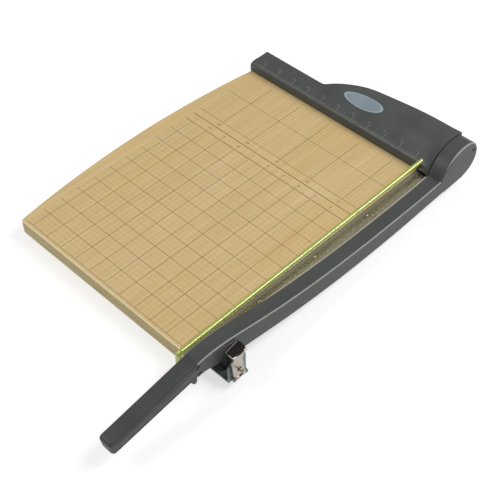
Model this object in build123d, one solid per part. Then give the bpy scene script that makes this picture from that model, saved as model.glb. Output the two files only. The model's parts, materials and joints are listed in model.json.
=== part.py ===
from build123d import *
import math
import os

# A guillotine paper cutter: a wooden board with a fixed steel knife along its right edge,
# a scale housing across the back that hides the pivot, and a long curved arm that carries
# the moving blade down past the fixed knife. A spring latch at the front right holds the arm.
#
# While the parts are drawn, X = 0 is the cutting edge with +X towards the arm, Y = 0 is the
# first printed line at the front of the board with +Y towards the scale, and Z = 0 is the
# top of the board. The last lines move everything so that the origin is under the middle of
# the whole cutter, at the level of the table.

INCH = 25.4

# ---- driving dimensions, in millimetres -------------------------------------------------
CUT_LENGTH = 15 * INCH        # front line of the board to the front face of the scale
BOARD_THICKNESS = 0.75 * INCH
BOARD_FRONT = -5.0
BOARD_BACK_LEFT = 411.0
BOARD_BACK_RIGHT = 441.0
BOARD_LEFT_FRONT = -297.0     # the left side is one long shallow arc through these three
BOARD_LEFT_MIDDLE = -312.4
BOARD_LEFT_BACK = -294.5
BULGE_START = -200.0          # where the back edge starts to swing out to the pivot bulge
BULGE_TURN = 45.0
BULGE_HOLLOW_RADIUS = 12.0

KNIFE_THICKNESS = 3.2
KNIFE_FLANGE = 18.4
KNIFE_DEPTH = 17.0
KNIFE_FRONT = -8.0
KNIFE_BACK = 398.0
KNIFE_SCREW_X = -10.9
KNIFE_SCREW_PITCH = 90.7
KNIFE_SCREW_FIRST = 10.3

HOUSING_RIGHT = -0.6
HOUSING_WALL = 2.5

PIVOT_Y = 425.0
PIVOT_Z = 12.0
SHAFT_RADIUS = 5.0
RUNNING_CLEARANCE = 0.05

BLADE_INNER = 0.1
BLADE_THICKNESS = 2.4
ARM_INNER = BLADE_INNER + BLADE_THICKNESS
ARM_OUTER = 20.6
HEAD_INNER = 1.0
ARM_FRONT = -20.0
CROWN_START = 376.0           # where the arm's flat top meets the pivot head

GRIP_INNER = 1.3
GRIP_LENGTH = 118.0
GRIP_DROP = 9.0               # degrees below the horizontal
GRIP_HEIGHT_BACK = 23.4
GRIP_HEIGHT_FRONT = 20.4
GRIP_MIDDLE_Z = 20.2
GRIP_CORNER = 4.8
GRIP_OVERLAP = 4.0            # extra length that is trimmed flush with the arm's front face

ROD_RADIUS = 3.0
ROD_X = -16.6
ROD_Z_FRONT = 8.5
ROD_Z_BACK = 12.0
ROD_TIP_Y = 390.0
ROD_LEG_Y = -15.0
ROD_BEND = 5.5
ROD_LEG_BOTTOM = -17.5

PLATE_THICKNESS = 2.0
BRACKET_FRONT = 10.5
BRACKET_BACK = 35.5
BRACKET_WALL_OUTER = 32.0
LATCH_HINGE_X = 35.0
LATCH_HINGE_Z = -16.0
LATCH_PIN_RADIUS = 1.0
LATCH_SHEET = 1.8
LIP_Z = 18.0
LIP_NOSE_X = ARM_OUTER + 0.4

FOOT_HEIGHT = 10.0
BOARD_BOTTOM = -BOARD_THICKNESS
TABLE_Z = BOARD_BOTTOM - FOOT_HEIGHT

parts = {}


# ---- shared shapes ----------------------------------------------------------------------
def block(x0, x1, y0, y1, z0, z1):
    """Box between two corners."""
    size = Box(x1 - x0, y1 - y0, z1 - z0)
    return Pos((x0 + x1) / 2, (y0 + y1) / 2, (z0 + z1) / 2) * size


def rod_between(start, end, radius):
    """Cylinder from one point to another."""
    path = Vector(*end) - Vector(*start)
    return Solid.make_cylinder(radius, path.length, Plane(origin=start, z_dir=path))


def ring_x(x0, x1, outer, inner, y=PIVOT_Y, z=PIVOT_Z):
    """Washer or sleeve whose axis runs along X."""
    tube = rod_between((x0, y, z), (x1, y, z), outer)
    return tube - rod_between((x0 - 1, y, z), (x1 + 1, y, z), inner)


def side_prism(edges, x0, x1):
    """Solid with a closed side outline, drawn as (Y, Z) edges, between two X values."""
    face = Plane.YZ * make_face(edges)
    return Pos(x0, 0, 0) * extrude(face, amount=x1 - x0)


def polygon_edges(points):
    """Closed outline of straight edges."""
    return Polyline(*points, close=True)


def cross_recess(radius, depth):
    """Cross-shaped driver recess, cut downwards from Z = 0."""
    arm = Box(radius * 1.2, radius * 0.3, 2 * depth)
    return arm + Rot(0, 0, 90) * arm


def flat_head_blank(head, shank, length):
    """Countersunk screw whose flat head is level with Z = 0 and whose shank points down."""
    cone_height = head - shank
    cone = Pos(0, 0, -cone_height / 2) * Cone(shank, head, cone_height)
    return cone + Pos(0, 0, -length / 2) * Cylinder(shank, length)


def pan_head_blank(head, head_height, shank, length):
    """Pan head screw: the head stands above Z = 0 and the shank points down."""
    cap = Pos(0, 0, head_height / 2) * Cylinder(head, head_height)
    cap = fillet(cap.edges().group_by(Axis.Z)[-1], head_height * 0.45)
    return cap + Pos(0, 0, -length / 2) * Cylinder(shank, length)


def screw_set(blank, places):
    """Screws with driver recesses, and the plain seats that they fill, at several places."""
    box = blank.bounding_box()
    recess = Pos(0, 0, box.max.Z) * cross_recess(box.max.X, 1.4)
    seats = [place * blank for place in places]
    return [place * (blank - recess) for place in places], seats


def cut_all(solid, tools):
    """One solid with every tool cut out of it."""
    for tool in tools:
        solid = solid - tool
    return solid


UPSIDE_DOWN = Rot(180, 0, 0)
HEAD_TO_MINUS_Y = Rot(90, 0, 0)
HEAD_TO_PLUS_X = Rot(0, 90, 0)
HEAD_TO_MINUS_X = Rot(0, -90, 0)


# ---- board ------------------------------------------------------------------------------
def board_outline(right):
    """Plan of the board: curved left side, and a back edge that swings out to the pivot."""
    turn = math.radians(BULGE_TURN)
    step = BOARD_BACK_RIGHT - BOARD_BACK_LEFT
    rise_hollow = BULGE_HOLLOW_RADIUS * (1 - math.cos(turn))
    round_radius = (step - rise_hollow) / (1 - math.cos(turn))
    join = (BULGE_START + BULGE_HOLLOW_RADIUS * math.sin(turn), BOARD_BACK_LEFT + rise_hollow)
    bulge_end = (join[0] + round_radius * math.sin(turn), BOARD_BACK_RIGHT)
    start = (BULGE_START, BOARD_BACK_LEFT)
    back_left = (BOARD_LEFT_BACK, BOARD_BACK_LEFT)
    front_left = (BOARD_LEFT_FRONT, BOARD_FRONT)
    edges = [
        Line((right, BOARD_FRONT), front_left),
        ThreePointArc(front_left, (BOARD_LEFT_MIDDLE, CUT_LENGTH / 2), back_left),
        Line(back_left, start),
        TangentArc(start, join, tangent=(1, 0)),
        TangentArc(join, bulge_end, tangent=(math.cos(turn), math.sin(turn))),
        Line(bulge_end, (right, BOARD_BACK_RIGHT)),
        Line((right, BOARD_BACK_RIGHT), (right, BOARD_FRONT)),
    ]
    return make_face(edges)


def raw_board():
    """The board before its holes: rounded corners and a softened top edge."""
    outline = board_outline(-KNIFE_THICKNESS)
    corners = outline.vertices().filter_by(lambda v: v.X < BOARD_LEFT_BACK + 1)
    outline = fillet(corners, 5.0)
    board = Pos(0, 0, BOARD_BOTTOM) * extrude(outline, amount=BOARD_THICKNESS)
    top = board.edges().group_by(Axis.Z)[-1]
    front_and_left = [
        edge for edge in top
        if edge.center().Y < BOARD_FRONT + 3 or edge.center().X < BOARD_LEFT_BACK
    ]
    board = fillet(front_and_left, 2.5)
    bottom = board.edges().group_by(Axis.Z)[0]
    front_and_left = [
        edge for edge in bottom
        if edge.center().Y < BOARD_FRONT + 3 or edge.center().X < BOARD_LEFT_BACK
    ]
    board = fillet(front_and_left, 1.0)
    knife_rebate = block(-KNIFE_FLANGE, 0, BOARD_FRONT - 1, KNIFE_BACK, -KNIFE_THICKNESS, 1)
    bracket_rebate = block(PIVOT_PLATE_INNER, 0, KNIFE_BACK, BOARD_BACK_RIGHT + 1, -30, 1)
    return board - knife_rebate - bracket_rebate


# ---- fixed knife ------------------------------------------------------------------------
def knife():
    """Angle of hardened steel: its top outer corner is the fixed cutting edge."""
    flange = block(-KNIFE_FLANGE, 0, KNIFE_FRONT, KNIFE_BACK, -KNIFE_THICKNESS, 0)
    leg = block(-KNIFE_THICKNESS, 0, KNIFE_FRONT, KNIFE_BACK, -KNIFE_DEPTH, 0)
    angle = flange + leg
    inner_top = angle.edges().filter_by(Axis.Y).sort_by(lambda e: e.center().X - e.center().Z)[0]
    return chamfer(inner_top, 0.6)


# ---- scale housing ----------------------------------------------------------------------
# Side outlines of the housing's skin, front foot first, as (Y, Z). Left of the bulge it is
# a low ruler, over the bulge it climbs to a hood, and at the pivot it is a full round crown.
RULER_SKIN = [(381, 8), (382.3, 11.4), (385.5, 13.3), (396, 15.2), (411, 18.2), (428, 19.2), (446, 19.4)]
HOOD_SKIN = [(381, 8), (382.3, 11.4), (385.8, 13.8), (396, 19), (411, 27.8), (428, 33.0), (446, 33.5)]
CROWN_SKIN = [(378, 6), (380, 12), (384.5, 19.5), (396, 28.8), (411, 34), (428, 35.0), (446, 34.2)]
HOOD_X = -30.0
INSET_Y = [1.0, 0.95, 0.7, 0.3, 0, 0, 0]
INSET_Z = [0.3, 0.6, 0.9, 1.0, 1.0, 1.0, 1.0]


def smooth_step(value):
    """Smooth ramp from 0 to 1."""
    value = min(max(value, 0.0), 1.0)
    return value * value * (3 - 2 * value)


def skin_points(x, inset, lift):
    """Points of the housing's skin at one X value, moved inwards or up."""
    hood = smooth_step((x - BULGE_START) / (HOOD_X - BULGE_START))
    crown = smooth_step((x - HOOD_X) / (HOUSING_RIGHT - HOOD_X))
    points = []
    for ruler, high, end, in_y, in_z in zip(RULER_SKIN, HOOD_SKIN, CROWN_SKIN, INSET_Y, INSET_Z):
        y = ruler[0] + hood * (high[0] - ruler[0]) + crown * (end[0] - high[0])
        z = ruler[1] + hood * (high[1] - ruler[1]) + crown * (end[1] - high[1])
        points.append((x, y + inset * in_y - lift * in_y, z - inset * in_z + lift * in_z))
    return points


def skin_solid(right, inset=0.0, lift=0.0, foot=0.0):
    """Everything under the housing's skin, from past its left end to the given X."""
    sections = []
    for x in [*range(-330, -29, 30), right]:
        points = skin_points(x, inset, lift)
        first, last = points[0], points[-1]
        front = Line((x, first[1], foot), first)
        top = Spline(*points, tangents=[(0, 0, 1), (0, 1, 0)], tangent_scalars=(1, 1))
        back = Line(last, (x, last[1], foot))
        base = Line((x, last[1], foot), (x, first[1], foot))
        sections.append(make_face([front, top, back, base]))
    return loft(sections)


def housing_outline(inset):
    """Upright prism over the board's outline, or inside it by the wall thickness."""
    outline = board_outline(HOUSING_RIGHT)
    if inset:
        outline = offset(outline, -inset, kind=Kind.INTERSECTION)
    return Pos(0, 0, -1) * extrude(outline, amount=60)


HOUSING_BOSSES = [(-283, 396), (-205, 396), (-130, 428), (-80, 396)]


def housing_shell():
    """Hollow cover that sits on the board, with screw bosses and a saddle for the rod."""
    outer = skin_solid(HOUSING_RIGHT) & housing_outline(0)
    rear = [
        edge for edge in outer.edges()
        if edge.center().Z > 15 and edge.center().Y > 400 and edge.center().X < HOUSING_RIGHT - 1
        and edge.bounding_box().size.X > 3
    ]
    outer = fillet(rear, 3.5)
    inner = skin_solid(HOUSING_RIGHT - HOUSING_WALL, inset=HOUSING_WALL, foot=-0.5)
    inner = inner & housing_outline(HOUSING_WALL)
    shell = outer - inner
    for x, y in HOUSING_BOSSES:
        shell = shell + (outer & Pos(x, y, 20) * Cylinder(4.5, 40))
    shell = shell + (outer & block(ROD_X - 5.5, ROD_X + 5.5, 370, 397, 0, 40))
    return outer, shell


# ---- guard rod --------------------------------------------------------------------------
def rod_path():
    """Centre line of the guard rod: up the front, round a bend and back to the scale."""
    slope = math.atan2(ROD_Z_BACK - ROD_Z_FRONT, ROD_TIP_Y - ROD_LEG_Y)
    corner = (ROD_X, ROD_LEG_Y, ROD_Z_FRONT)
    tip = (ROD_X, ROD_TIP_Y, ROD_Z_FRONT + (ROD_TIP_Y - ROD_LEG_Y) * math.tan(slope))
    return FilletPolyline((ROD_X, ROD_LEG_Y, ROD_LEG_BOTTOM), corner, tip, radius=ROD_BEND)


def rod_solid(radius):
    """The rod itself, or a thicker copy of it for cutting its seat."""
    path = rod_path()
    rod = sweep(Plane(origin=path @ 0, z_dir=path % 0) * Circle(radius), path)
    return rod + Pos(*(path @ 1)) * Sphere(radius)


# ---- pivot ------------------------------------------------------------------------------
PIVOT_PLATE_OUTER = -KNIFE_THICKNESS
PIVOT_PLATE_INNER = PIVOT_PLATE_OUTER - 5.0
BUSHING_RADIUS = 7.0
SPRING_WIRE = 1.2
BALANCE_SPRING_RADIUS = 9.5
BALANCE_SPRING_TURNS = 7
BALANCE_SPRING_START = -29.0
ARBOR_INNER_END = -32.0


def pivot_bracket():
    """Steel plate on the board's edge that carries the pivot, with a flange on the board."""
    edges = [
        Line((KNIFE_BACK, -16), (438, -16)),
        Line((438, -16), (438, 14)),
        ThreePointArc((438, 14), (425, 28), (410, 26)),
        Line((410, 26), (KNIFE_BACK, 22)),
        Line((KNIFE_BACK, 22), (KNIFE_BACK, -16)),
    ]
    plate = side_prism(edges, PIVOT_PLATE_INNER, PIVOT_PLATE_OUTER)
    flange = block(-48, PIVOT_PLATE_OUTER, KNIFE_BACK, 410, 0, 3)
    bore = rod_between((-20, PIVOT_Y, PIVOT_Z), (5, PIVOT_Y, PIVOT_Z), BUSHING_RADIUS)
    return plate + flange - bore


def coil(wire, radius, pitch, turns, start_x):
    """Coil spring whose axis is the pivot's, starting at one X value and running to +X."""
    helix = Helix(pitch=pitch, height=pitch * turns, radius=radius)
    turned = Pos(start_x, PIVOT_Y, PIVOT_Z) * Rot(0, 90, 0) * helix
    profile = Plane(origin=turned @ 0, z_dir=turned % 0) * Circle(wire)
    return sweep(profile, turned, is_frenet=True)


def balance_spring():
    """Torsion spring that takes the arm's weight, with its fixed leg hooked in the bracket."""
    pitch = 2 * SPRING_WIRE + 0.1
    body = coil(SPRING_WIRE, BALANCE_SPRING_RADIUS, pitch, BALANCE_SPRING_TURNS, BALANCE_SPRING_START)
    x = BALANCE_SPRING_START + pitch * BALANCE_SPRING_TURNS
    high = PIVOT_Z + BALANCE_SPRING_RADIUS
    leg_end = (x, 406, high - 0.5)
    leg = rod_between((x, PIVOT_Y, high), leg_end, SPRING_WIRE)
    hook = rod_between(leg_end, (PIVOT_PLATE_OUTER - 0.5, 406, high - 0.5), SPRING_WIRE)
    elbow = Pos(*leg_end) * Sphere(SPRING_WIRE)
    return body, leg + hook + elbow


# ---- arm --------------------------------------------------------------------------------
ARM_TOP = [(-20, 30.6), (0, 32), (50, 25.2), (100, 16.2), (150, 10.2), (200, 6.6),
           (250, 4.9), (300, 4.6), (350, 5.4), (392, 8.5)]
ARM_BOTTOM = [(-20, 9.2), (-8, 9), (5, 5.2), (25, 0.8), (50, -2.7), (100, -10), (150, -15.4),
              (200, -18.8), (250, -20), (300, -19.6), (350, -17.4), (392, -15.0)]
HEAD_BOTTOM_BACK = (430, -13.9)


def arm_bar():
    """The arm in front of its head, with rounded outer edges."""
    edges = [
        Spline(*ARM_TOP),
        Line(ARM_TOP[-1], ARM_BOTTOM[-1]),
        Spline(*ARM_BOTTOM),
        Line(ARM_BOTTOM[0], ARM_TOP[0]),
    ]
    bar = side_prism(edges, ARM_INNER, ARM_OUTER)
    long_edges = [edge for edge in bar.edges() if edge.length > 300]
    outer_edges = [edge for edge in long_edges if edge.center().X > ARM_OUTER - 1]
    upper = max(outer_edges, key=lambda edge: edge.center().Z)
    bar = fillet(upper, 2.0)
    long_edges = [edge for edge in bar.edges() if edge.length > 300]
    lower = min(
        [edge for edge in long_edges if edge.center().X > ARM_OUTER - 0.5],
        key=lambda edge: edge.center().Z,
    )
    return fillet(lower, 1.5)


def arm_head():
    """Round head over the pivot; its crown follows the end of the scale housing."""
    foot = (CROWN_START, 5.5)
    top = (423.0, 35.6)
    back = (447.8, 9.0)
    floor = (385, -15.3)
    crown = ThreePointArc(foot, (393, 27.5), top)
    shoulder = TangentArc(top, back, tangent=(1, 0))
    heading = shoulder % 1
    heel = TangentArc(back, HEAD_BOTTOM_BACK, tangent=(heading.X, heading.Y))
    edges = [crown, shoulder, heel, Line(HEAD_BOTTOM_BACK, floor), Line(floor, foot)]
    head = side_prism(edges, HEAD_INNER, ARM_OUTER)
    outer_rim = [
        edge for edge in head.edges()
        if abs(edge.center().X - ARM_OUTER) < 0.01 and edge.geom_type != GeomType.LINE
    ]
    head = fillet(outer_rim, 3.0)
    blade_recess = block(0, ARM_INNER, 370, 400, -30, 5.5)
    return head - blade_recess


def blade():
    """Steel blade on the inner face of the arm, with a long curved cutting edge."""
    top = [(110, 13.2), (150, 9.3), (200, 5.7), (250, 4.1), (300, 3.8), (350, 4.5), (374, 5.6)]
    front_low = (-14, -9)
    back_low = (392, -16.5)
    edges = [
        Line((-14, 17), top[0]),
        Spline(*top),
        Line(top[-1], (374, 0)),
        Line((374, 0), (392, 0)),
        Line((392, 0), back_low),
        ThreePointArc(back_low, (190, -24.6), front_low),
        Line(front_low, (-14, 17)),
    ]
    plate = side_prism(edges, BLADE_INNER, ARM_INNER)
    cutting = [
        edge for edge in plate.edges()
        if edge.length > 390 and edge.center().X > ARM_INNER - 0.1 and edge.center().Z < -10
    ]
    return chamfer(cutting, 2.2, 3.5)


BLADE_SCREWS = [(18, 13), (105, 3), (195, -6), (285, -7.5), (365, -5.5)]


# ---- handle grip, drawn level with its back end at the origin, then tilted ----------------
def to_grip(shape):
    """Puts a shape from the grip's own axes, with +X to its front tip, on the arm."""
    centre_x = (GRIP_INNER + ARM_OUTER) / 2
    return Pos(centre_x, ARM_FRONT, GRIP_MIDDLE_Z) * Rot(GRIP_DROP, 0, 0) * Rot(0, 0, -90) * shape


def grip_solid():
    """Tapered round-edged grip with a rounded tip and a finger stop under its back end."""
    width = ARM_OUTER - GRIP_INNER
    back = Plane.YZ.offset(-GRIP_OVERLAP) * RectangleRounded(width, GRIP_HEIGHT_BACK, GRIP_CORNER)
    front = Plane.YZ.offset(GRIP_LENGTH) * RectangleRounded(width, GRIP_HEIGHT_FRONT, GRIP_CORNER)
    grip = loft([back, front])
    tip = grip.edges().group_by(Axis.X)[-1]
    grip = fillet(tip, 4.6)
    stop = Plane.XZ * make_face(Polyline((2.5, -8), (13, -8), (8.3, -17.9), (4.9, -17.3), close=True))
    stop = Pos(0, width / 2 - 1, 0) * extrude(stop, amount=8)
    stop = fillet([edge for edge in stop.edges().filter_by(Axis.Y) if edge.center().Z < -15], 1.3)
    return grip, stop


TANG = (95.0, 9.0, 11.0)      # length, width and height of the arm's tongue in the grip
GRIP_SCREWS = [30.0, 75.0]


# ---- latch ------------------------------------------------------------------------------
def latch_bracket():
    """Steel strap under the board that carries the arm's stop and the latch."""
    base = block(-45, BRACKET_WALL_OUTER, BRACKET_FRONT, BRACKET_BACK,
                 BOARD_BOTTOM - PLATE_THICKNESS, BOARD_BOTTOM)
    wall = side_prism(
        polygon_edges([
            (BRACKET_FRONT, BOARD_BOTTOM - PLATE_THICKNESS), (BRACKET_BACK, BOARD_BOTTOM - PLATE_THICKNESS),
            (BRACKET_BACK, 8), (BRACKET_BACK - 4, 12), (24, 12), (BRACKET_FRONT, 4),
        ]),
        BRACKET_WALL_OUTER - PLATE_THICKNESS, BRACKET_WALL_OUTER,
    )
    strap = base + wall
    bend = [
        edge for edge in strap.edges().filter_by(Axis.Y)
        if abs(edge.center().X - BRACKET_WALL_OUTER) < 0.01
        and abs(edge.center().Z - (BOARD_BOTTOM - PLATE_THICKNESS)) < 0.01
    ]
    strap = fillet(bend, 1.6)
    for y0, y1 in EAR_SPANS:
        ear = block(BRACKET_WALL_OUTER - 0.5, LATCH_HINGE_X, y0, y1, LATCH_HINGE_Z - 2.4, LATCH_HINGE_Z + 2.4)
        rim = rod_between((LATCH_HINGE_X, y0, LATCH_HINGE_Z), (LATCH_HINGE_X, y1, LATCH_HINGE_Z), 2.4)
        strap = strap + ear + rim
    return strap


EAR_SPANS = [(13.8, 15.9), (31.0, 33.5)]
KNUCKLE_SPANS = [(17.4, 21.2), (26.8, 30.6)]
GUIDE_PIN_Y = 22.5
GUIDE_PIN_Z = -3.5
GUIDE_PIN_RADIUS = 1.8
GUIDE_HOLE_RADIUS = 3.0
LIP_FRONT_Y = 15.0
LIP_BACK_Y = 34.5
LATCH_OUTER = 35.6


def latch_plate():
    """Spring-loaded latch: an upright plate on a hinge whose top turns in towards the arm."""
    side = side_prism(
        polygon_edges([
            (18.0, LATCH_HINGE_Z - 0.6), (30.6, LATCH_HINGE_Z + 1), (27.2, 12), (30.0, LIP_Z),
            (15.5, LIP_Z), (12.5, 14), (14.2, -9.9),
        ]),
        LATCH_OUTER - LATCH_SHEET, LATCH_OUTER,
    )
    lip = Plane.XY * make_face(Polyline(
        (LATCH_OUTER, LIP_FRONT_Y), (LATCH_OUTER, LIP_BACK_Y), (LIP_NOSE_X, LIP_BACK_Y),
        (LIP_NOSE_X, LIP_BACK_Y - 5), (LIP_NOSE_X + 2.4, LIP_FRONT_Y), close=True,
    ))
    lip = Pos(0, 0, LIP_Z) * extrude(lip, amount=LATCH_SHEET)
    plate = side + lip
    plate = fillet(
        [edge for edge in plate.edges().filter_by(Axis.Y)
         if abs(edge.center().X - LATCH_OUTER) < 0.01 and edge.center().Z > LIP_Z + 1],
        1.5,
    )
    for y0, y1 in KNUCKLE_SPANS:
        knuckle = rod_between((LATCH_HINGE_X, y0, LATCH_HINGE_Z), (LATCH_HINGE_X, y1, LATCH_HINGE_Z), 2.2)
        web = block(LATCH_OUTER - LATCH_SHEET, LATCH_OUTER, y0, y1, LATCH_HINGE_Z, LATCH_HINGE_Z + 5)
        plate = plate + knuckle + web
    middle = (KNUCKLE_SPANS[0][1], KNUCKLE_SPANS[1][0])
    plate = plate - block(30, 40, middle[0], middle[1], LATCH_HINGE_Z - 4, LATCH_HINGE_Z + 2.2)
    bore = rod_between((LATCH_HINGE_X, 0, LATCH_HINGE_Z), (LATCH_HINGE_X, 50, LATCH_HINGE_Z),
                       LATCH_PIN_RADIUS + RUNNING_CLEARANCE)
    hole = rod_between((30, GUIDE_PIN_Y, GUIDE_PIN_Z), (40, GUIDE_PIN_Y, GUIDE_PIN_Z), GUIDE_HOLE_RADIUS)
    return plate - bore - hole


def thumb_pad():
    """Soft cap on the latch's lip, straight towards the arm and rounded on the outside."""
    inner = LIP_NOSE_X + 2.0
    pad = Plane.XY * make_face([
        Line((inner + 2.4, LIP_FRONT_Y), (inner, LIP_BACK_Y)),
        Line((inner, LIP_BACK_Y), (LATCH_OUTER - 4, LIP_BACK_Y)),
        ThreePointArc((LATCH_OUTER - 4, LIP_BACK_Y), (LATCH_OUTER + 0.8, 25), (LATCH_OUTER - 4, LIP_FRONT_Y)),
        Line((LATCH_OUTER - 4, LIP_FRONT_Y), (inner + 2.4, LIP_FRONT_Y)),
    ])
    pad = Pos(0, 0, LIP_Z + LATCH_SHEET) * extrude(pad, amount=2.6)
    return fillet(pad.edges().group_by(Axis.Z)[-1], 1.0)


# ---- build every part -------------------------------------------------------------------
knife_screws, knife_seats = screw_set(flat_head_blank(4.3, 2.0, 16.0), [
    Pos(KNIFE_SCREW_X, KNIFE_SCREW_FIRST + index * KNIFE_SCREW_PITCH, 0) for index in range(5)
])
housing_screws, housing_seats = screw_set(pan_head_blank(3.6, 2.0, 1.75, 22.0), [
    Pos(x, y, BOARD_BOTTOM + 7.0) * UPSIDE_DOWN for x, y in HOUSING_BOSSES
])
housing_counterbores = [
    Pos(x, y, BOARD_BOTTOM + 3.0) * Cylinder(4.5, 8.0) for x, y in HOUSING_BOSSES
]
pivot_screws, pivot_seats = screw_set(pan_head_blank(3.2, 1.8, 1.6, 15.0), [
    *[Pos(x, 404, 3.0) for x in (-40, -20)],
    *[Pos(PIVOT_PLATE_OUTER, y, -10) * HEAD_TO_PLUS_X for y in (404, 434)],
])
strap_screws, strap_seats = screw_set(pan_head_blank(3.6, 1.9, 1.75, 15.0), [
    Pos(x, 23, BOARD_BOTTOM - PLATE_THICKNESS) * UPSIDE_DOWN for x in (-36, -14)
])
FOOT_POINTS = {
    "front_left_foot": (-282, 22), "front_right_foot": (-30, 62),
    "rear_left_foot": (-276, 388), "rear_right_foot": (-32, 422),
}
FOOT_RADIUS = 10.0
foot_screws, foot_seats = screw_set(pan_head_blank(3.4, 1.8, 1.75, 15.0), [
    Pos(x, y, BOARD_BOTTOM - 5.0) * UPSIDE_DOWN for x, y in FOOT_POINTS.values()
])
rod_clip_screws, rod_clip_seats = screw_set(pan_head_blank(2.8, 1.5, 1.4, 12.0), [
    Pos(ROD_X + 8.0, BOARD_FRONT - 1.6, z) * HEAD_TO_MINUS_Y for z in (-6.6, -13.0)
])

board = raw_board()
wood_seats = knife_seats + pivot_seats + strap_seats + foot_seats + rod_clip_seats
board = cut_all(board, wood_seats + housing_seats + housing_counterbores)
parts["baseboard"] = board

parts["bed_knife"] = cut_all(knife(), knife_seats)
parts["bed_knife_screws"] = Compound(knife_screws)

rod = rod_solid(ROD_RADIUS)
rod_seat = rod_solid(ROD_RADIUS + 0.02)
parts["guard_rod"] = rod

outer_skin, housing = housing_shell()
paper_slot = block(ROD_X - 3, 5, 370, 384.2, -1, 2.6)
shaft_window = rod_between((-10, PIVOT_Y, PIVOT_Z), (5, PIVOT_Y, PIVOT_Z), 10.0)
housing = housing - rod_seat - paper_slot - shaft_window
housing = cut_all(housing, housing_seats)
parts["scale_housing"] = housing
parts["housing_screws"] = Compound(housing_screws)

badge_zone = Pos(-130.5, 412, 20) * extrude(Ellipse(31, 10), amount=30, both=True)
badge = (skin_solid(HOUSING_RIGHT, lift=0.9) & badge_zone) - outer_skin
parts["blank_badge"] = badge

parts["rod_clip"] = (
    block(ROD_X - 3.5, ROD_X + 12.4, BOARD_FRONT - 1.6, BOARD_FRONT, -16.2, -3.5)
    + block(ROD_X - 3.5, ROD_X + 4.5, ROD_LEG_Y - 4.5, BOARD_FRONT, -15, -13.4)
)
parts["rod_clip"] = cut_all(parts["rod_clip"], rod_clip_seats + [rod])
parts["rod_clip_screws"] = Compound(rod_clip_screws)
parts["rod_push_nut"] = (
    Pos(ROD_X, ROD_LEG_Y, -15.7) * Cylinder(5.0, 1.4) - Pos(ROD_X, ROD_LEG_Y, -15.7) * Cylinder(ROD_RADIUS, 4)
)

spring_coil, spring_leg = balance_spring()
parts["balance_spring"] = spring_coil + spring_leg
bracket = pivot_bracket()
bracket = cut_all(bracket, pivot_seats + [spring_leg])
parts["pivot_bracket"] = bracket
parts["pivot_bracket_screws"] = Compound(pivot_screws)

BUSHING_FACE = HOUSING_RIGHT
bushing = ring_x(PIVOT_PLATE_INNER - 0.8, PIVOT_PLATE_OUTER, BUSHING_RADIUS, SHAFT_RADIUS + RUNNING_CLEARANCE)
bushing = bushing + ring_x(PIVOT_PLATE_OUTER, BUSHING_FACE, 9.0, SHAFT_RADIUS + RUNNING_CLEARANCE)
parts["pivot_bushing"] = bushing

parts["thrust_washer"] = ring_x(BUSHING_FACE + RUNNING_CLEARANCE, HEAD_INNER, 9.5, SHAFT_RADIUS)
shaft = rod_between((-54, PIVOT_Y, PIVOT_Z), (14, PIVOT_Y, PIVOT_Z), SHAFT_RADIUS)
parts["pivot_shaft"] = chamfer(shaft.edges().filter_by(GeomType.CIRCLE), 0.8)
arbor_end = PIVOT_PLATE_INNER - 0.8 - RUNNING_CLEARANCE
parts["spring_arbor"] = ring_x(ARBOR_INNER_END, arbor_end, 7.6, SHAFT_RADIUS)
WASHER = 1.5
SPRING_SEAT = ARBOR_INNER_END - WASHER
SPRING_SPAN = 10.0
NUT_WASHER = SPRING_SEAT - SPRING_SPAN
parts["spring_washers"] = Compound([
    ring_x(SPRING_SEAT, ARBOR_INNER_END, 9.5, SHAFT_RADIUS),
    ring_x(NUT_WASHER - WASHER, NUT_WASHER, 9.5, SHAFT_RADIUS),
])
tension_wire = 1.0
tension_turns = 4
tension_pitch = (SPRING_SPAN - 2 * tension_wire) / tension_turns
parts["tension_spring"] = coil(tension_wire, 7.2, tension_pitch, tension_turns, NUT_WASHER + tension_wire)
nut_start = NUT_WASHER - WASHER - 7.0
nut = Plane.YZ.offset(nut_start) * Pos(PIVOT_Y, PIVOT_Z) * RegularPolygon(8.0, 6, major_radius=False)
nut = extrude(nut, amount=7.0) - rod_between((-60, PIVOT_Y, PIVOT_Z), (0, PIVOT_Y, PIVOT_Z), SHAFT_RADIUS)
parts["lock_nut"] = nut

blade_screws, blade_seats = screw_set(flat_head_blank(3.6, 1.9, 11.0), [
    Pos(BLADE_INNER, y, z) * HEAD_TO_MINUS_X for y, z in BLADE_SCREWS
])
grip, finger_stop = grip_solid()
tang_length, tang_width, tang_height = TANG
tang = to_grip(Pos(tang_length / 2 - 1, 0, 0) * Box(tang_length + 2, tang_width, tang_height))
grip_side = (ARM_OUTER - GRIP_INNER) / 2
grip_screws, grip_seats = screw_set(flat_head_blank(3.6, 1.9, 13.0), [
    to_grip(Pos(along, -grip_side, 0) * HEAD_TO_MINUS_Y) for along in GRIP_SCREWS
])
arm = arm_bar() + arm_head()
arm = arm - block(-5, 30, -60, ARM_FRONT, -40, 60)
latch_slot = block(ARM_OUTER - 2.4, ARM_OUTER + 1, LIP_FRONT_Y + 4, LIP_BACK_Y + 0.8, LIP_Z - 1.4, LIP_Z + 2.4)
set_screw_axis = (438.0, 19.0)
set_screw_hole = rod_between((14, *set_screw_axis), (25, *set_screw_axis), 2.2)
arm = arm + tang - latch_slot - set_screw_hole
arm = arm - rod_between((0, PIVOT_Y, PIVOT_Z), (14, PIVOT_Y, PIVOT_Z), SHAFT_RADIUS)
parts["cutting_arm"] = cut_all(arm, blade_seats + grip_seats)
parts["moving_blade"] = cut_all(blade(), blade_seats)
parts["blade_screws"] = Compound(blade_screws)
set_screw = rod_between((14, *set_screw_axis), (18.2, *set_screw_axis), 2.2)
set_screw = set_screw - rod_between((16.5, *set_screw_axis), (19, *set_screw_axis), 1.1)
parts["head_set_screw"] = set_screw

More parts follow.
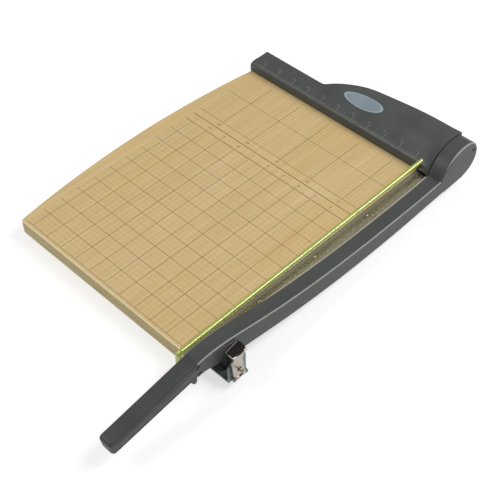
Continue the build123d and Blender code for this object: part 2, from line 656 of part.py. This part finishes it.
handle = to_grip(grip + finger_stop) - tang - block(-5, 30, ARM_FRONT, 40, -40, 60)
for z in (4.8, -5.9):
    notch = to_grip(Pos(-0.4, grip_side, z) * Box(5.0, 9.0, 2.8))
    groove = to_grip(Pos(56, grip_side, z) * Box(108, 1.2, 1.0))
    handle = handle - notch - groove
    parts["cutting_arm"] = parts["cutting_arm"] - notch
parts["handle_grip"] = cut_all(handle, grip_seats)
parts["handle_screws"] = Compound(grip_screws)

strap = latch_bracket()
hinge_pin = rod_between((LATCH_HINGE_X, 13.3, LATCH_HINGE_Z), (LATCH_HINGE_X, 34.0, LATCH_HINGE_Z), LATCH_PIN_RADIUS)
guide_pin = rod_between((BRACKET_WALL_OUTER - PLATE_THICKNESS, GUIDE_PIN_Y, GUIDE_PIN_Z),
                        (LATCH_OUTER + 7.0, GUIDE_PIN_Y, GUIDE_PIN_Z), GUIDE_PIN_RADIUS)
guide_pin = fillet(guide_pin.edges().group_by(Axis.X)[-1], 0.7)
parts["latch_bracket"] = cut_all(strap, strap_seats + [hinge_pin, guide_pin])
parts["latch_bracket_screws"] = Compound(strap_screws)
parts["latch_hinge_pin"] = hinge_pin
parts["latch_guide_pin"] = guide_pin
parts["latch_plate"] = latch_plate()
parts["latch_thumb_pad"] = thumb_pad()
spring_turns = 5
spring_pitch = 0.9
spring_helix = Helix(pitch=spring_pitch, height=spring_pitch * spring_turns, radius=1.5)
spring_helix = Pos(LATCH_HINGE_X, 26.3, LATCH_HINGE_Z) * Rot(90, 0, 0) * spring_helix
spring_profile = Plane(origin=spring_helix @ 0, z_dir=spring_helix % 0) * Circle(0.3)
parts["latch_spring"] = sweep(spring_profile, spring_helix, is_frenet=True)

bumper = block(5.5, 19.5, 20, 33, BOARD_BOTTOM, -1.6)
bumper = fillet(bumper.edges().filter_by(Axis.Z) + bumper.edges().group_by(Axis.Z)[-1], 1.0)
parts["arm_bumper"] = bumper

for name, (x, y) in FOOT_POINTS.items():
    foot = Pos(x, y, (BOARD_BOTTOM + TABLE_Z) / 2) * Cylinder(FOOT_RADIUS, FOOT_HEIGHT)
    foot = fillet(foot.edges().group_by(Axis.Z)[0], 1.5)
    foot = foot - Pos(x, y, TABLE_Z) * Cylinder(4.2, 2 * (FOOT_HEIGHT - 5.0))
    parts[name] = cut_all(foot, foot_seats)
parts["foot_screws"] = Compound(foot_screws)

# ---- move to the final origin and write -------------------------------------------------
span = Compound(list(parts.values())).bounding_box()
shift = Vector(-(span.min.X + span.max.X) / 2, -(span.min.Y + span.max.Y) / 2, -span.min.Z)
print("shift", shift, "size", span.size)

os.makedirs("parts", exist_ok=True)
for name, shape in parts.items():
    export_step(Pos(*shift) * shape, os.path.join("parts", name + ".step"))
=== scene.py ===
"""Looks for the guillotine paper cutter: materials, printed scales, studio and camera."""
import json
import math

import bmesh
import bpy
from mathutils import Matrix, Vector
from mathutils.bvhtree import BVHTree

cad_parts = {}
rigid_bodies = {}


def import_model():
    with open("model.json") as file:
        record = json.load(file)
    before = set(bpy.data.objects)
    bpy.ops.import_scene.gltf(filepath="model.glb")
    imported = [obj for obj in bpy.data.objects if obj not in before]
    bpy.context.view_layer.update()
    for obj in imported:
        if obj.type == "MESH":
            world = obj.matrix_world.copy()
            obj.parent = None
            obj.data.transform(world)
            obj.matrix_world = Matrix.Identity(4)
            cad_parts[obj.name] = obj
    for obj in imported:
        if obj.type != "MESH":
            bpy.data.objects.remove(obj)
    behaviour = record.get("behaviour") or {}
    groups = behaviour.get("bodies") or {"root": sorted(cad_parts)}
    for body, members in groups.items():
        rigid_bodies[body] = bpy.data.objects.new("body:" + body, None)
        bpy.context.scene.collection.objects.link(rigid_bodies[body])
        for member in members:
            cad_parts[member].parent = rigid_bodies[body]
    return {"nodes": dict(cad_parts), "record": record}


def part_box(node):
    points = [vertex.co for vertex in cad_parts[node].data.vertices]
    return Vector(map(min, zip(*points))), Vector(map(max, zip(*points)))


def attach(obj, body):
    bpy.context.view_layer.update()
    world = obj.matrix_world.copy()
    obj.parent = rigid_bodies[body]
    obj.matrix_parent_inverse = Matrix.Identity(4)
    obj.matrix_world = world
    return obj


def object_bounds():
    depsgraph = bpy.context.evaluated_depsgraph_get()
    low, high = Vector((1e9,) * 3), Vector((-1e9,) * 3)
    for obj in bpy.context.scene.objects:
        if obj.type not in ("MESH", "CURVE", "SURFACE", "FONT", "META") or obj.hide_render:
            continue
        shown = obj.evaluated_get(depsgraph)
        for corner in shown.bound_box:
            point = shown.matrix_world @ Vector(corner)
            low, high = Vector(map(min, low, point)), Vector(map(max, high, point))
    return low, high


for default in list(bpy.data.objects):
    bpy.data.objects.remove(default)

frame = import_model()
CAD_LOW, CAD_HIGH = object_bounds()
NODES = frame["nodes"]

MM = 0.001
INCH = 25.4 * MM

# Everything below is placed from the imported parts: the cutting edge is the bed knife's right
# side, the board's top is the bed knife's top, and the scale starts 15 inches from the
# first printed line, which is a little behind the bed knife's front end.
KNIFE_LOW, KNIFE_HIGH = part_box("bed_knife")
FIRST_LINE_SETBACK = 8 * MM
CUT_X = KNIFE_HIGH.x
TOP_Z = KNIFE_HIGH.z
FRONT_Y = KNIFE_LOW.y + FIRST_LINE_SETBACK
SCALE_Y = FRONT_Y + 15 * INCH


# ---- node helpers -----------------------------------------------------------------------
def linear(red, green, blue):
    """Display colour, 0 to 255, as the linear colour that shaders take."""
    out = []
    for value in (red, green, blue):
        part = value / 255
        out.append(part / 12.92 if part <= 0.04045 else ((part + 0.055) / 1.055) ** 2.4)
    return (*out, 1.0)


class Look:
    """One material and short calls for the nodes that feed its shader."""

    def __init__(self, name, roughness=0.5, metallic=0.0, coat=0.0, coat_roughness=0.2, shine=0.5):
        self.material = bpy.data.materials.new(name)
        self.material.use_nodes = True
        self.tree = self.material.node_tree
        self.shader = self.tree.nodes["Principled BSDF"]
        self.set("Roughness", roughness)
        self.set("Metallic", metallic)
        self.set("Coat Weight", coat)
        self.set("Coat Roughness", coat_roughness)
        self.set("Specular IOR Level", shine)
        self.place = self.tree.nodes.new("ShaderNodeTexCoord")

    def set(self, socket, value):
        self.shader.inputs[socket].default_value = value

    def link(self, output, target):
        self.tree.links.new(output, target)

    def noise(self, stretch, detail=4.0, roughness=0.5, distortion=0.0):
        """Noise in metres of the row frame: stretch is its density along X, Y and Z."""
        mapping = self.tree.nodes.new("ShaderNodeMapping")
        mapping.inputs["Scale"].default_value = stretch
        self.link(self.place.outputs["Object"], mapping.inputs["Vector"])
        node = self.tree.nodes.new("ShaderNodeTexNoise")
        node.inputs["Scale"].default_value = 1.0
        node.inputs["Detail"].default_value = detail
        node.inputs["Roughness"].default_value = roughness
        node.inputs["Distortion"].default_value = distortion
        self.link(mapping.outputs["Vector"], node.inputs["Vector"])
        return node.outputs["Fac"]

    def ramp(self, value, *stops):
        """Colour ramp from (position, colour) stops."""
        node = self.tree.nodes.new("ShaderNodeValToRGB")
        elements = node.color_ramp.elements
        for element, (position, colour) in zip(elements, (stops[0], stops[-1])):
            element.position = position
            element.color = colour
        for position, colour in stops[1:-1]:
            elements.new(position).color = colour
        self.link(value, node.inputs["Fac"])
        return node.outputs["Color"]

    def mix(self, factor, first, second, blend="MIX"):
        """Mixes two colours; each may be a socket or a fixed colour."""
        node = self.tree.nodes.new("ShaderNodeMix")
        node.data_type = "RGBA"
        node.blend_type = blend
        named = {"Factor_Float": factor, "A_Color": first, "B_Color": second}
        for identifier, value in named.items():
            socket = next(s for s in node.inputs if s.identifier == identifier)
            if isinstance(value, bpy.types.NodeSocket):
                self.link(value, socket)
            else:
                socket.default_value = value
        return next(s for s in node.outputs if s.identifier == "Result_Color")

    def math(self, operation, first, second):
        node = self.tree.nodes.new("ShaderNodeMath")
        node.operation = operation
        for socket, value in zip(node.inputs, (first, second)):
            if isinstance(value, bpy.types.NodeSocket):
                self.link(value, socket)
            else:
                socket.default_value = value
        return node.outputs["Value"]

    def facing(self):
        """The part's own surface direction, as its X, Y and Z parts."""
        split = self.tree.nodes.new("ShaderNodeSeparateXYZ")
        self.link(self.place.outputs["Normal"], split.inputs["Vector"])
        return split.outputs["X"], split.outputs["Y"], split.outputs["Z"]

    def colour(self, socket):
        self.link(socket, self.shader.inputs["Base Color"])

    def rough(self, value, low, high):
        """Roughness that follows a 0 to 1 value between two limits."""
        node = self.tree.nodes.new("ShaderNodeMapRange")
        node.inputs["From Min"].default_value = 0.3
        node.inputs["From Max"].default_value = 0.7
        node.inputs["To Min"].default_value = low
        node.inputs["To Max"].default_value = high
        self.link(value, node.inputs["Value"])
        self.link(node.outputs["Result"], self.shader.inputs["Roughness"])

    def bump(self, height, strength, distance):
        node = self.tree.nodes.new("ShaderNodeBump")
        node.inputs["Strength"].default_value = strength
        node.inputs["Distance"].default_value = distance
        self.link(height, node.inputs["Height"])
        self.link(node.outputs["Normal"], self.shader.inputs["Normal"])


# ---- materials --------------------------------------------------------------------------
BLACK = (0.0, 0.0, 0.0, 1.0)
WHITE = (1.0, 1.0, 1.0, 1.0)


def board_look():
    """Satin maple face with the grain along Y, a pale painted highlight on the rounding, and darker
    layered edges.
    """
    look = Look("board_wood", roughness=0.42, coat=0.15, coat_roughness=0.35)
    streak = look.noise((260, 9, 260), detail=6.0, roughness=0.6, distortion=0.4)
    face = look.ramp(streak, (0.30, linear(198, 173, 123)), (0.52, linear(205, 181, 132)),
                     (0.72, linear(210, 188, 141)))
    patch = look.noise((22, 5, 22), detail=3.0)
    warm = look.ramp(patch, (0.35, linear(255, 255, 255)), (0.75, linear(255, 247, 236)))
    face = look.mix(1.0, face, warm, "MULTIPLY")
    layer = look.noise((30, 30, 900), detail=3.0)
    edge = look.ramp(layer, (0.35, linear(136, 118, 62)), (0.65, linear(170, 150, 86)))
    _, _, up = look.facing()
    top = look.ramp(up, (0.25, BLACK), (0.5, WHITE))
    # The rounding between top and sides gets a pale colour: a painted highlight.
    rounding = look.ramp(up, (0.35, BLACK), (0.55, WHITE), (0.85, WHITE), (0.96, BLACK))
    board_with_painted_highlight = look.mix(rounding, look.mix(top, edge, face), linear(226, 212, 168))
    look.colour(board_with_painted_highlight)
    pores = look.noise((2200, 60, 2200), detail=2.0)
    look.rough(streak, 0.36, 0.5)
    look.bump(pores, 0.12, 0.0002)
    return look.material


def paint_look(name, base, light, grain, roughness, shine=0.5, edge=None):
    """Satin paint with a fine orange-peel texture, and a painted highlight on its outer top edge if
    given.
    """
    look = Look(name, roughness=roughness, shine=shine)
    tone = look.noise((35, 12, 35), detail=3.0)
    paint = look.ramp(tone, (0.3, base), (0.7, light))
    if edge:
        # Where the surface faces right and up, the outer top edge gets a painted highlight colour.
        right, _, up = look.facing()
        corner = look.ramp(look.math("MULTIPLY", right, up), (0.3, BLACK), (0.42, WHITE))
        paint = look.mix(corner, paint, edge)
    look.colour(paint)
    peel = look.noise((grain, grain, grain), detail=3.0)
    look.rough(peel, roughness - 0.06, roughness + 0.06)
    look.bump(peel, 0.25, 0.0001)
    return look.material


def steel_look(name, base, light, stretch, low, high, back=None):
    """Steel with fine scratches along one direction, and a painted highlight on its back edge if given.

    The noise is dense across the scratches, and low and high are limits of the roughness.
    """
    look = Look(name, metallic=1.0)
    scratch = look.noise(stretch, detail=3.0, roughness=0.7)
    tone = look.noise((60, 14, 60), detail=4.0)
    steel = look.mix(scratch, look.ramp(tone, (0.3, base), (0.7, light)), light)
    if back:
        # Upward faces get a pale colour: a painted highlight.
        _, _, up = look.facing()
        steel = look.mix(look.ramp(up, (0.4, BLACK), (0.7, WHITE)), steel, back)
    look.colour(steel)
    look.rough(scratch, low, high)
    look.bump(scratch, 0.05, 0.00002)
    return look.material


def plastic_look(name, base, light, grain, roughness, strength=0.3, shine=0.5):
    """Moulded plastic or rubber with a fine spark-eroded texture."""
    look = Look(name, roughness=roughness, shine=shine)
    tone = look.noise((40, 40, 40), detail=2.0)
    look.colour(look.ramp(tone, (0.3, base), (0.7, light)))
    spark = look.noise((grain, grain, grain), detail=2.0)
    look.rough(spark, roughness - 0.05, roughness + 0.08)
    look.bump(spark, strength, 0.00012)
    return look.material


def gloss_look(name, base, light):
    """Glossy coloured coating over the steel rod."""
    look = Look(name, roughness=0.4, coat=1.0, coat_roughness=0.06)
    look.set("Coat IOR", 2.2)
    tone = look.noise((80, 25, 80), detail=2.0)
    look.colour(look.ramp(tone, (0.3, base), (0.7, light)))
    return look.material


def ink_look(name, ink, faded):
    """Printing ink, faded a little unevenly."""
    look = Look(name, roughness=0.55)
    wear = look.noise((160, 160, 160), detail=4.0)
    look.colour(look.ramp(wear, (0.35, ink), (0.75, faded)))
    return look.material


ALONG_ROD = (3000, 40, 3000)
LOOKS = {
    "board_wood": board_look(),
    # The arm's pale outer top edge colour is a painted highlight.
    "arm_paint": paint_look("arm_paint", linear(70, 73, 72), linear(77, 80, 79), 1500, 0.36,
                            shine=0.15, edge=linear(150, 154, 149)),
    "housing_paint": paint_look("housing_paint", linear(70, 73, 72), linear(78, 81, 80), 1500, 0.38,
                                shine=0.4),
    "badge_paint": paint_look("badge_paint", linear(120, 134, 142), linear(132, 146, 154), 2500, 0.4),
    "bracket_paint": paint_look("bracket_paint", linear(98, 110, 106), linear(116, 128, 124), 1800, 0.4),
    "grip_plastic": plastic_look("grip_plastic", linear(60, 62, 60), linear(67, 69, 67), 2500, 0.45,
                                 shine=0.3),
    "pad_plastic": plastic_look("pad_plastic", linear(20, 10, 11), linear(30, 17, 18), 2000, 0.55,
                                shine=0.25),
    "black_rubber": plastic_look("black_rubber", linear(22, 22, 22), linear(34, 34, 34), 1600, 0.75),
    "rod_lime": gloss_look("rod_lime", linear(146, 160, 8), linear(168, 180, 24)),
    "knife_steel": steel_look("knife_steel", linear(166, 159, 141), linear(200, 193, 175),
                              ALONG_ROD, 0.22, 0.38),
    # The blade's pale back edge colour is a painted highlight.
    "blade_steel": steel_look("blade_steel", linear(140, 140, 136), linear(170, 169, 164),
                              ALONG_ROD, 0.36, 0.52, back=linear(222, 214, 184)),
    "latch_steel": steel_look("latch_steel", linear(160, 152, 142), linear(186, 178, 168),
                              (900, 900, 60), 0.25, 0.4),
    "screw_steel": steel_look("screw_steel", linear(168, 154, 134), linear(206, 194, 174),
                              (1500, 1500, 1500), 0.22, 0.36),
    "zinc_steel": steel_look("zinc_steel", linear(150, 150, 148), linear(186, 186, 184),
                             (700, 700, 700), 0.3, 0.5),
    "spring_steel": steel_look("spring_steel", linear(70, 70, 74), linear(104, 104, 108),
                               (900, 900, 900), 0.3, 0.45),
    "bearing_brass": steel_look("bearing_brass", linear(176, 142, 70), linear(206, 172, 98),
                                (400, 2000, 2000), 0.3, 0.45),
}
INK = ink_look("board_ink", linear(82, 66, 46), linear(104, 86, 60))
FAINT_INK = ink_look("faint_ink", linear(176, 151, 104), linear(190, 165, 116))
SILVER_INK = ink_look("silver_ink", linear(150, 151, 143), linear(126, 127, 120))
BADGE_INK = ink_look("badge_border", linear(186, 200, 208), linear(172, 188, 196))

for entry in frame["record"]["subparts"]:
    surface = NODES[entry["node"]].data
    surface.materials.clear()
    surface.materials.append(LOOKS[entry["material_slot"]])


# ---- printed marks ----------------------------------------------------------------------
def new_piece(name, mesh, material, body):
    """Object from a finished mesh, riding on a body."""
    piece = bpy.data.objects.new(name, mesh)
    bpy.context.scene.collection.objects.link(piece)
    mesh.materials.clear()
    mesh.materials.append(material)
    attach(piece, body)
    return piece


def mesh_from(bars, name):
    """One mesh of flat bars, each an (x0, x1, y0, y1) rectangle on the board's top."""
    shape = bmesh.new()
    for x0, x1, y0, y1 in bars:
        centre = Vector(((x0 + x1) / 2, (y0 + y1) / 2, TOP_Z + INK_THICKNESS / 2))
        size = Matrix.Diagonal((x1 - x0, y1 - y0, INK_THICKNESS, 1))
        bmesh.ops.create_cube(shape, size=1.0, matrix=Matrix.Translation(centre) @ size)
    mesh = bpy.data.meshes.new(name)
    shape.to_mesh(mesh)
    shape.free()
    return mesh


INK_THICKNESS = 0.04 * MM
WIDE_LINE = 0.5 * MM
THIN_LINE = 0.22 * MM
HEAVIER = 1.5
METRIC_BASE_WIDTH = 0.9 * MM
INCH_TICK_WIDTH = THIN_LINE * 1.6
METRIC_TICK_WIDTH = THIN_LINE * 1.2
GRID_LEFT = CUT_X - 291 * MM
GRID_RIGHT = CUT_X - 20.5 * MM
GRID_REACH = CUT_X - GRID_LEFT
GRID_NEAR = CUT_X - GRID_RIGHT
INCH_BACK = FRONT_Y + 10 * INCH
METRIC_BASE = FRONT_Y + 268 * MM
METRIC_FRONT = FRONT_Y + 281 * MM
METRIC_BACK = FRONT_Y + 371 * MM
METRIC_STEP = 5 * MM

# Tick lengths in millimetres: by sixteenths of an inch, and by millimetres.
INCH_TICKS = (4.2, 1.2, 1.7, 1.2, 2.2, 1.2, 1.7, 1.2, 3.0, 1.2, 1.7, 1.2, 2.2, 1.2, 1.7, 1.2)
METRIC_TICKS = (3.6, 1.3, 1.3, 1.3, 1.3, 2.4, 1.3, 1.3, 1.3, 1.3)


def upright(x, y0, y1, width):
    return (x - width / 2, x + width / 2, y0, y1)


def level(y, x0, x1, width):
    return (x0, x1, y - width / 2, y + width / 2)


def steps(first, last, spacing):
    """Whole multiples of a spacing between two distances, as (index, distance)."""
    start = math.ceil(first / spacing - 1e-6)
    stop = math.floor(last / spacing + 1e-6)
    return [(index, index * spacing) for index in range(start, stop + 1)]


wide, thin = [], []


def rule(index, is_wide, bar, *place):
    """Adds a grid line: wide, or thin with every second one a little heavier."""
    if is_wide:
        wide.append(bar(*place, WIDE_LINE))
    elif index % 2 == 0:
        thin.append(bar(*place, THIN_LINE * HEAVIER))
    else:
        thin.append(bar(*place, THIN_LINE))


for index, far in steps(GRID_NEAR, GRID_REACH, INCH / 4):
    rule(index, index % 4 == 0, upright, CUT_X - far, FRONT_Y, INCH_BACK)
for index, along in steps(0, INCH_BACK - FRONT_Y, INCH / 4):
    rule(index, index % 4 == 0, level, FRONT_Y + along, GRID_LEFT, GRID_RIGHT)
for index, far in steps(GRID_NEAR, GRID_REACH, METRIC_STEP):
    rule(index, index % 10 == 0, upright, CUT_X - far, METRIC_FRONT, METRIC_BACK)
for index, along in steps(0, METRIC_BACK - METRIC_FRONT, METRIC_STEP):
    rule(index, index == 10, level, METRIC_FRONT + along, GRID_LEFT, GRID_RIGHT)
wide.append(level(METRIC_BASE, GRID_LEFT, GRID_RIGHT, METRIC_BASE_WIDTH))
for index, far in steps(GRID_NEAR, GRID_REACH, INCH / 16):
    length = INCH_TICKS[index % 16] * MM
    wide.append(upright(CUT_X - far, INCH_BACK, INCH_BACK + length, INCH_TICK_WIDTH))
for index, far in steps(GRID_NEAR, GRID_REACH, MM):
    length = METRIC_TICKS[index % 10] * MM
    wide.append(upright(CUT_X - far, METRIC_FRONT - length, METRIC_FRONT, METRIC_TICK_WIDTH))

new_piece("board_grid", mesh_from(wide, "board_grid"), INK, "base")
new_piece("board_fine_grid", mesh_from(thin, "board_fine_grid"), FAINT_INK, "base")


def digits(text, height, thickness):
    """Mesh of a number lying flat, centred on the origin."""
    curve = bpy.data.curves.new("digits", "FONT")
    curve.body = text
    curve.size = height
    curve.align_x = "CENTER"
    curve.align_y = "CENTER"
    curve.extrude = thickness / 2
    curve.resolution_u = 3
    source = bpy.data.objects.new("digits", curve)
    bpy.context.scene.collection.objects.link(source)
    bpy.context.view_layer.update()
    mesh = bpy.data.meshes.new_from_object(source)
    bpy.data.objects.remove(source)
    bpy.data.curves.remove(curve)
    return mesh


BOARD_DIGITS = 5.2 * MM
INCH_NUMBERS_Y = INCH_BACK + 7.4 * MM
METRIC_NUMBERS_Y = METRIC_FRONT - 7.0 * MM


def number_row(name, numbers, y):
    """Flat numbers on the board at (text, x) places, joined into one mesh."""
    shape = bmesh.new()
    for text, x in numbers:
        mesh = digits(text, BOARD_DIGITS, INK_THICKNESS)
        mesh.transform(Matrix.Translation((x, y, TOP_Z + INK_THICKNESS / 2)))
        shape.from_mesh(mesh)
        bpy.data.meshes.remove(mesh)
    mesh = bpy.data.meshes.new(name)
    shape.to_mesh(mesh)
    shape.free()
    return new_piece(name, mesh, INK, "base")


inch_numbers = [(str(k), CUT_X - k * INCH) for k in range(1, 12)]
metric_numbers = [(str(k), CUT_X - k * 10 * MM) for k in range(5, 29, 5)]
number_row("board_inch_numbers", inch_numbers, INCH_NUMBERS_Y)
number_row("board_metric_numbers", metric_numbers, METRIC_NUMBERS_Y)


# ---- print on the curved scale housing --------------------------------------------------
def surface_of(node):
    """Search tree over a CAD node's faces."""
    mesh = NODES[node].data
    return BVHTree.FromPolygons(
        [vertex.co.copy() for vertex in mesh.vertices],
        [tuple(face.vertices) for face in mesh.polygons],
    )


HOUSING_SURFACE = surface_of("scale_housing")
BADGE_SURFACE = surface_of("blank_badge")
PRINT_LIFT = 0.05 * MM
DROP_START = CAD_HIGH.z + 50 * MM


def drop(surface, x, y):
    """Point just above a surface, straight below a high start."""
    place, normal, _, _ = surface.ray_cast(Vector((x, y, DROP_START)), Vector((0, 0, -1)))
    return place + normal * PRINT_LIFT


def draped_strip(shape, start, end, width, surface):
    """Thin printed strip from start to end, laid on a surface in short lengths."""
    along = Vector(end) - Vector(start)
    side = Vector((-along.y, along.x)).normalized() * width / 2
    rows = []
    for index in range(STRIP_PIECES + 1):
        middle = Vector(start) + along * index / STRIP_PIECES
        rows.append([
            shape.verts.new(drop(surface, *(middle + side))),
            shape.verts.new(drop(surface, *(middle - side))),
        ])
    for first, second in zip(rows, rows[1:]):
        shape.faces.new((first[0], first[1], second[1], second[0]))


def finish_print(shape, name, material):
    """Makes a piece of a draped print and gives it thickness."""
    bmesh.ops.recalc_face_normals(shape, faces=shape.faces)
    mesh = bpy.data.meshes.new(name)
    shape.to_mesh(mesh)
    shape.free()
    piece = new_piece(name, mesh, material, "base")
    solid = piece.modifiers.new("thickness", "SOLIDIFY")
    solid.thickness = INK_THICKNESS
    solid.offset = 0.0
    return piece


STRIP_PIECES = 6
TICK_FRONT = SCALE_Y + 2.4 * MM
SCALE_END = 11.5 * INCH
SCALE_TICKS = (10.0, 2.6, 3.4, 2.6, 5.0, 2.6, 3.4, 2.6)   # millimetres, by eighths of an inch
SCALE_WHOLE_WIDTH = 0.45 * MM
SCALE_PART_WIDTH = 0.25 * MM
SCALE_DIGITS = 3.8 * MM
NUMBER_LEFT = 3.4 * MM         # from a whole inch's tick to the middle of its number
NUMBER_UP = 9.5 * MM

marks = bmesh.new()
for index, far in steps(INCH, SCALE_END, INCH / 8):
    x = CUT_X - far
    tick_end = TICK_FRONT + SCALE_TICKS[index % 8] * MM
    width = SCALE_WHOLE_WIDTH if index % 8 == 0 else SCALE_PART_WIDTH
    draped_strip(marks, (x, TICK_FRONT), (x, tick_end), width, HOUSING_SURFACE)
finish_print(marks, "scale_ticks", SILVER_INK)

numbers = bmesh.new()
for k in range(1, 12):
    mesh = digits(str(k), SCALE_DIGITS, 0.0)
    for vertex in mesh.vertices:
        x = CUT_X - k * INCH + vertex.co.x - NUMBER_LEFT
        vertex.co = drop(HOUSING_SURFACE, x, TICK_FRONT + NUMBER_UP + vertex.co.y)
    numbers.from_mesh(mesh)
    bpy.data.meshes.remove(mesh)
finish_print(numbers, "scale_numbers", SILVER_INK)

BADGE_LOW, BADGE_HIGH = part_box("blank_badge")
badge_centre = (BADGE_LOW + BADGE_HIGH) / 2
badge_half = (BADGE_HIGH - BADGE_LOW) / 2
BORDER_STEPS = 96
BORDER_SHARES = (0.93, 0.90)   # outer and inner line, as shares of the badge's half size
border = bmesh.new()
rim = []
for index in range(BORDER_STEPS):
    turn = 2 * math.pi * index / BORDER_STEPS
    pair = []
    for share in BORDER_SHARES:
        x = badge_centre.x + badge_half.x * share * math.cos(turn)
        y = badge_centre.y + badge_half.y * share * math.sin(turn)
        pair.append(border.verts.new(drop(BADGE_SURFACE, x, y)))
    rim.append(pair)
for first, second in zip(rim, rim[1:] + rim[:1]):
    border.faces.new((first[0], first[1], second[1], second[0]))
finish_print(border, "badge_border", BADGE_INK)


# ---- studio -----------------------------------------------------------------------------
FLOOR_HALF = 25.0
FLOOR_GREY = 0.5
FLOOR_GLOW = 0.6
WORLD_STRENGTH = 0.35


def studio_floor():
    """Plain pale floor under the cutter."""
    half = FLOOR_HALF
    corners = [(-half, -half, 0), (half, -half, 0), (half, half, 0), (-half, half, 0)]
    mesh = bpy.data.meshes.new("studio_floor")
    mesh.from_pydata(corners, [], [(0, 1, 2, 3)])
    floor = bpy.data.objects.new("studio_floor", mesh)
    bpy.context.scene.collection.objects.link(floor)
    look = Look("floor_paint", roughness=0.9)
    look.set("Base Color", (FLOOR_GREY, FLOOR_GREY, FLOOR_GREY, 1.0))
    look.set("Specular IOR Level", 0.0)
    look.set("Emission Color", WHITE)
    look.set("Emission Strength", FLOOR_GLOW)
    mesh.materials.append(look.material)


def softbox(name, place, aim, across, along, power, tint=(1.0, 1.0, 1.0)):
    """Rectangular area light facing a point, with its second side as near as it can be to Y."""
    lamp = bpy.data.lights.new(name, "AREA")
    lamp.shape = "RECTANGLE"
    lamp.size = across
    lamp.size_y = along
    lamp.energy = power
    lamp.color = tint
    holder = bpy.data.objects.new(name, lamp)
    bpy.context.scene.collection.objects.link(holder)
    away = (Vector(place) - Vector(aim)).normalized()
    side = Vector((0, 1, 0)).cross(away).normalized()
    turn = Matrix((side, away.cross(side), away)).transposed()
    holder.matrix_world = Matrix.Translation(place) @ turn.to_4x4()


def studio_light():
    """Even pale surroundings, a key from the front left and a long strip from the back right."""
    world = bpy.data.worlds.new("studio")
    world.use_nodes = True
    background = world.node_tree.nodes["Background"]
    background.inputs["Color"].default_value = WHITE
    background.inputs["Strength"].default_value = WORLD_STRENGTH
    bpy.context.scene.world = world
    softbox("key", place=(-0.9, -1.1, 1.7), aim=(0.0, 0.0, 0.03), across=0.9, along=0.9,
            power=16.0, tint=(1.0, 0.98, 0.95))
    softbox("strip", place=(1.0, 1.1, 1.85), aim=(0.12, 0.02, 0.04), across=0.7, along=1.8,
            power=34.0)


studio_floor()
studio_light()

# The camera stands to the right of the handle and looks down across the board.
CAMERA_PLACE = Vector((CUT_X + 0.5087, FRONT_Y - 0.4355, TOP_Z + 0.8887))
CAMERA_HEADING = math.radians(46.15)
CAMERA_DOWN = math.radians(47.24)
CAMERA_ROLL = math.radians(-1.59)
CAMERA_LENS = 77.13
CAMERA_SHIFT_X = 0.0326
SENSOR_WIDTH = 36.0

camera_data = bpy.data.cameras.new("camera")
camera_data.lens = CAMERA_LENS
camera_data.sensor_width = SENSOR_WIDTH
camera_data.shift_x = CAMERA_SHIFT_X
camera = bpy.data.objects.new("camera", camera_data)
bpy.context.scene.collection.objects.link(camera)
camera.matrix_world = (
    Matrix.Translation(CAMERA_PLACE)
    @ Matrix.Rotation(CAMERA_HEADING, 4, "Z")
    @ Matrix.Rotation(math.pi / 2 - CAMERA_DOWN, 4, "X")
    @ Matrix.Rotation(CAMERA_ROLL, 4, "Z")
)
bpy.context.scene.camera = camera
bpy.context.scene.view_settings.view_transform = "Standard"
